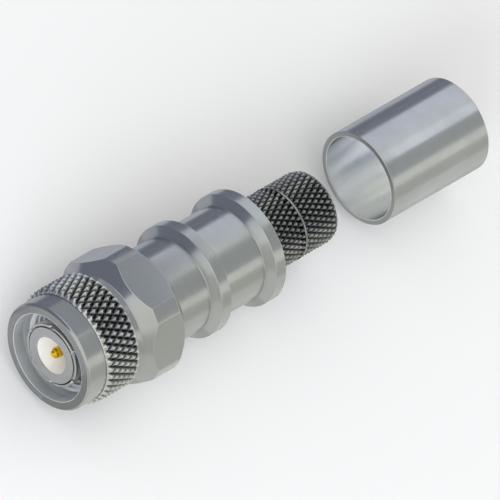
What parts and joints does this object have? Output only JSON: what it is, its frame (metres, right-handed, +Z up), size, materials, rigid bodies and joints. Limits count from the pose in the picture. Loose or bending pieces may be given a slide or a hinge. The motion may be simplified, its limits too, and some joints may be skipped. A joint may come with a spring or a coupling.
{
  "type": "tnc connector",
  "caption": "Straight crimp coaxial plug with a knurled hexagonal coupling nut, a pin in a slotted contact, a knurled crimp stem and a separate ferrule.",
  "frame": {"origin": "on the common axis, in the plane of the coupling nut's front face", "axes": "+X along the axis from the mating face towards the cable, +Z up out of the hexagon's upper flat when the plug lies on the flat below"},
  "size_m": [0.069, 0.0174, 0.016],
  "materials": {
    "nickel_plate": "nickel plated, fine turned",
    "spring_contact": "nickel plated, smooth",
    "ferrule_plate": "nickel plated, drawn tube",
    "ring_bronze": "bare spring bronze",
    "gold_plate": "gold plated, polished",
    "white_ptfe": "waxy, machined",
    "silicone": "smooth moulded"
  },
  "bodies": {
    "plug": {"connector_body": "nickel_plate", "outer_contact": "spring_contact", "insulator": "white_ptfe", "rear_bead": "white_ptfe", "centre_contact": "gold_plate", "retaining_ring": "ring_bronze", "weather_gasket": "silicone"},
    "nut": {"coupling_nut": "nickel_plate"},
    "ferrule": {"crimp_ferrule": "ferrule_plate"}
  },
  "joints": [
    {"name": "nut_spin", "type": "hinge", "parent": "plug", "child": "nut", "pos_m": [0.011, 0, 0], "axis": [1, 0, 0], "continuous": true},
    {"name": "ferrule_slide", "type": "slide", "parent": "plug", "child": "ferrule", "axis": [1, 0, 0], "range_m": [-0.0197, 0]}
  ]
}
